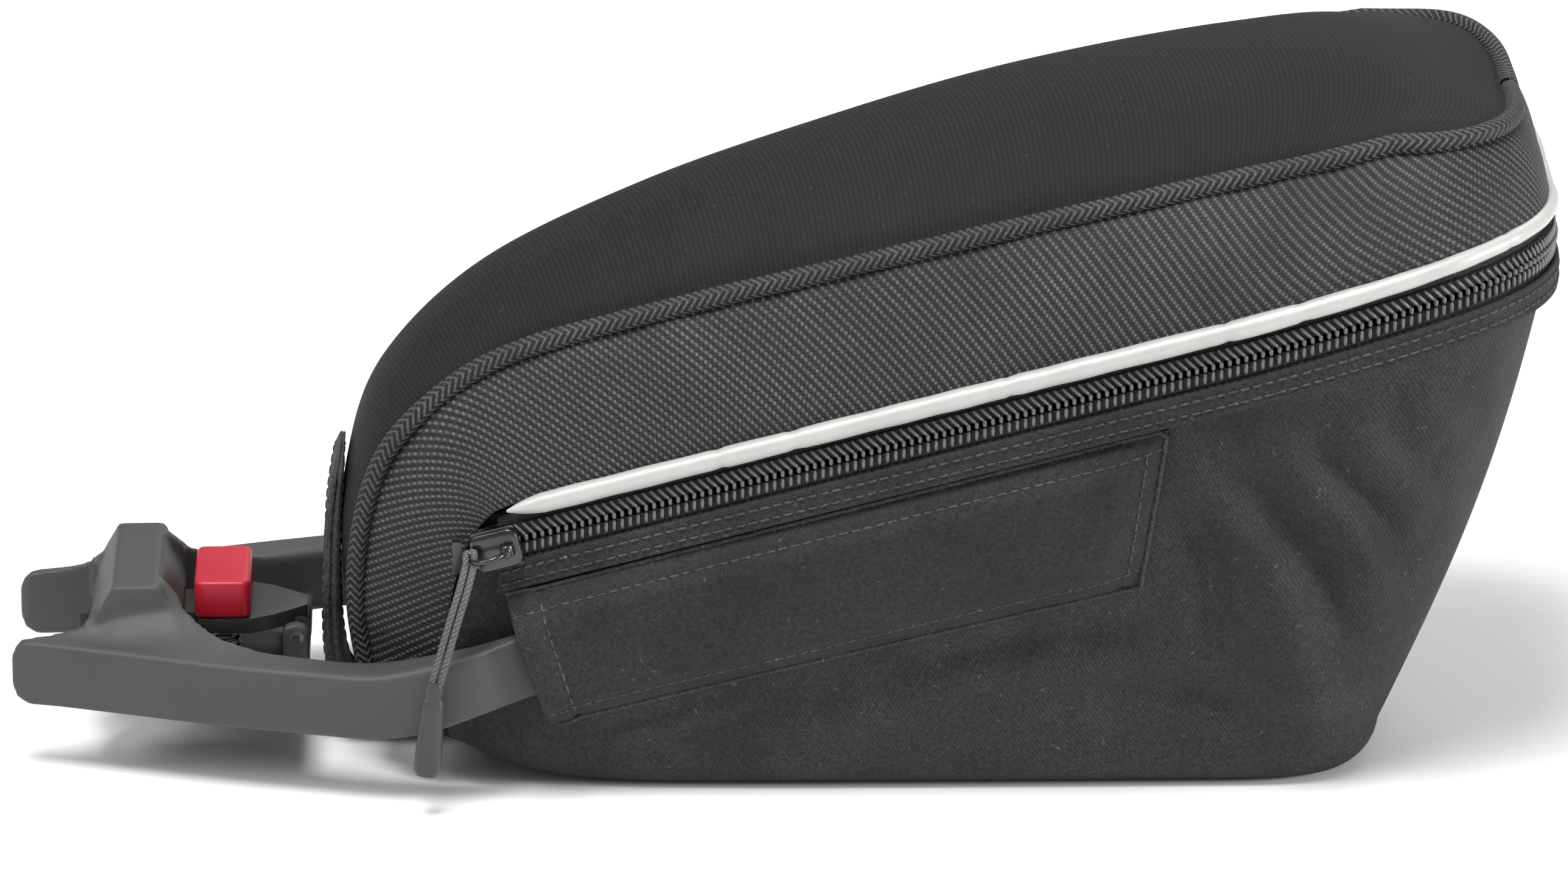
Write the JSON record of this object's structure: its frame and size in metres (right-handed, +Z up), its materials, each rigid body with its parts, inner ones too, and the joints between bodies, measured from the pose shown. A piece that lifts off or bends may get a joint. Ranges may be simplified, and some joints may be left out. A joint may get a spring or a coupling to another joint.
{
  "type": "saddle bag",
  "caption": "Clip-on bicycle saddle bag: padded fabric body with a zipped lid on a moulded fork frame with a push-button release.",
  "frame": {"origin": "centre of the overall box in X and Y, at the level of the bag's flat base", "axes": "+X from the fork's prongs to the rear of the bag, +Y to the rider's right, away from the zip slider, +Z up through the lid"},
  "size_m": [0.3408, 0.133, 0.1619],
  "materials": {
    "frame": "fine moulded grain, satin",
    "button": "satin red",
    "steel": "plain",
    "slider": "black lacquer, semi-gloss",
    "top_cloth": "fine smooth laminate",
    "weave": "coarse ballistic weave",
    "side_cloth": "fine twill",
    "reflective": "silver-white reflective tape",
    "coil": "nylon coil",
    "tape": "herringbone tape",
    "foam": "closed-cell foam",
    "board": "plain sheet",
    "cord": "braided cord",
    "grip": "semi-gloss moulded"
  },
  "bodies": {
    "body": {"fork_frame": "frame", "lever_pin": "steel", "return_spring": "steel", "front_panel": "top_cloth", "gusset_front_right": "weave", "gusset_front_left": "weave", "top_panel_fold": "top_cloth", "gusset_fold_right": "weave", "gusset_fold_left": "weave", "piping_front_right": "weave", "piping_front_left": "weave", "zip_coil_lower": "coil", "zip_tape_lower": "tape", "zip_stop_right": "slider", "zip_stop_left": "slider", "body_binding": "tape", "side_wall_right": "side_cloth", "side_wall_left": "side_cloth", "base_cloth": "side_cloth", "base_board": "board", "arm_sleeve_right": "side_cloth", "arm_sleeve_left": "side_cloth", "backing_plate_right": "board", "backing_plate_left": "board", "arm_rivet_right_front": "steel", "arm_rivet_right_rear": "steel", "arm_rivet_left_front": "steel", "arm_rivet_left_rear": "steel", "front_tab": "tape"},
    "lever": {"release_lever": "frame", "release_button": "button"},
    "lid": {"top_panel": "top_cloth", "lid_foam": "foam", "lid_gusset": "weave", "lid_piping": "weave", "reflective_piping": "reflective", "zip_coil_upper": "coil", "zip_tape_upper": "tape"},
    "slider": {"zip_slider": "slider"},
    "bail": {"pull_bail": "slider"},
    "pull": {"pull_cord": "cord", "pull_grip": "grip"}
  },
  "joints": [
    {"name": "release_press", "type": "hinge", "parent": "body", "child": "lever", "pos_m": [-0.108, 0, 0.0252], "axis": [0, -1, 0], "range_deg": [0, 8], "stiffness_Nm_per_rad": 0.8, "springref_deg": -4.58, "deforming": ["return_spring"]},
    {"name": "lid_hinge", "type": "hinge", "parent": "body", "child": "lid", "pos_m": [-0.066, 0, 0.0576], "axis": [0, -1, 0], "range_deg": [0, 60], "deforming": ["top_panel_fold", "gusset_fold_right", "gusset_fold_left", "piping_front_right", "piping_front_left"]},
    {"name": "zip_slide", "type": "slide", "parent": "body", "child": "slider", "axis": [0.9485, -0.1288, 0.2893], "range_m": [0, 0.15]},
    {"name": "bail_flip", "type": "hinge", "parent": "slider", "child": "bail", "pos_m": [-0.06137, -0.04699, 0.05924], "axis": [-0.2867, 0.0389, 0.9572], "range_deg": [0, 60]},
    {"name": "pull_swing", "type": "hinge", "parent": "bail", "child": "pull", "pos_m": [-0.0689, -0.0476, 0.057], "axis": [-0.1346, -0.9909, 0], "range_deg": [-50, 35]}
  ]
}
